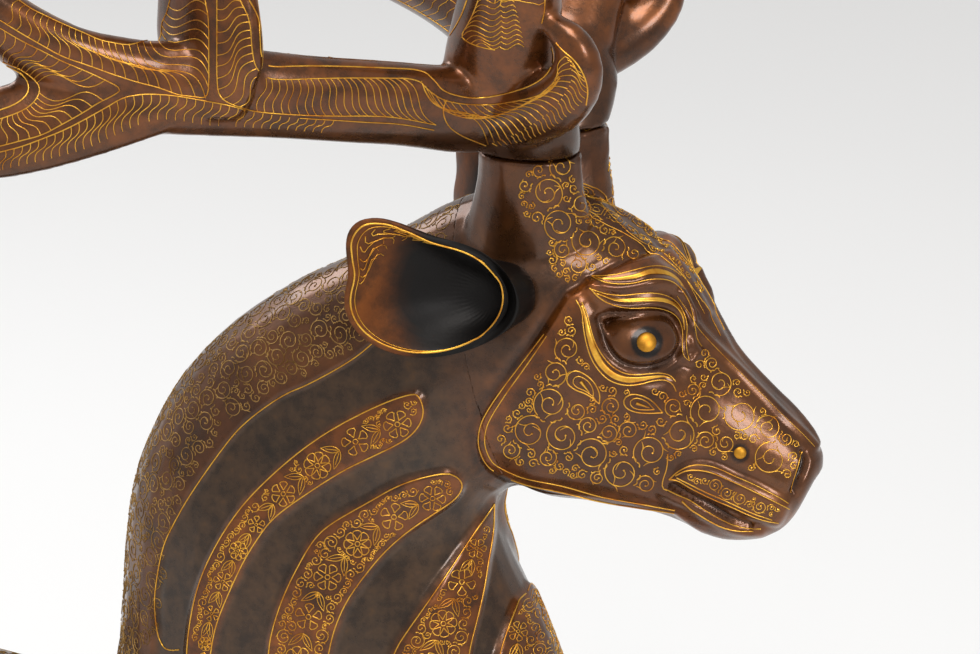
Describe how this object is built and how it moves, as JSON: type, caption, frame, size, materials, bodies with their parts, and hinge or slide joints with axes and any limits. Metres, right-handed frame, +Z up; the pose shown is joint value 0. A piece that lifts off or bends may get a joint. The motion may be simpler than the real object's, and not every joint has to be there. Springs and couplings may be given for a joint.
{
  "type": "bronze stag statuette",
  "caption": "Standing stag figure with an arched neck, cupped ears and lift-off branching antlers, in gold-inlaid patinated bronze on a low felted base plate.",
  "frame": {"origin": "centre of the felt's underside, under the base plate", "axes": "+X is the way the stag faces, +Z is up, and the X-Z plane is the figure's mirror plane"},
  "size_m": [0.4035, 0.2644, 0.671],
  "materials": {
    "patinated_bronze": "brown patina, waxed",
    "base_bronze": "dark brown patina, satin",
    "raw_bronze": "as cast and filed",
    "gold": "inlaid gold, burnished",
    "fastener_steel": "turned",
    "felt": "matte wool felt"
  },
  "bodies": {
    "figure": {"base_plate": "base_bronze", "base_felt": "felt", "hoof_studs": "fastener_steel", "hoof_washers": "fastener_steel", "hoof_nuts": "fastener_steel", "front_leg_right": "patinated_bronze", "front_leg_left": "patinated_bronze", "hind_leg_right": "patinated_bronze", "hind_leg_left": "patinated_bronze", "leg_pins": "fastener_steel", "torso_shell": "patinated_bronze", "neck_sleeve": "raw_bronze", "neck_shell": "patinated_bronze", "head_sleeve": "raw_bronze", "seam_pins": "raw_bronze", "head_shell": "patinated_bronze", "ear_right": "patinated_bronze", "ear_left": "patinated_bronze", "pupil_right": "gold", "pupil_left": "gold", "muzzle_studs": "gold", "antler_peg_right": "raw_bronze", "antler_peg_left": "raw_bronze"},
    "right_antler": {"antler_right": "patinated_bronze"},
    "left_antler": {"antler_left": "patinated_bronze"}
  },
  "joints": [
    {"name": "right_antler_lift", "type": "slide", "parent": "figure", "child": "right_antler", "axis": [0, 0, 1], "range_m": [0, 0.06]},
    {"name": "left_antler_lift", "type": "slide", "parent": "figure", "child": "left_antler", "axis": [0, 0, 1], "range_m": [0, 0.06]}
  ]
}
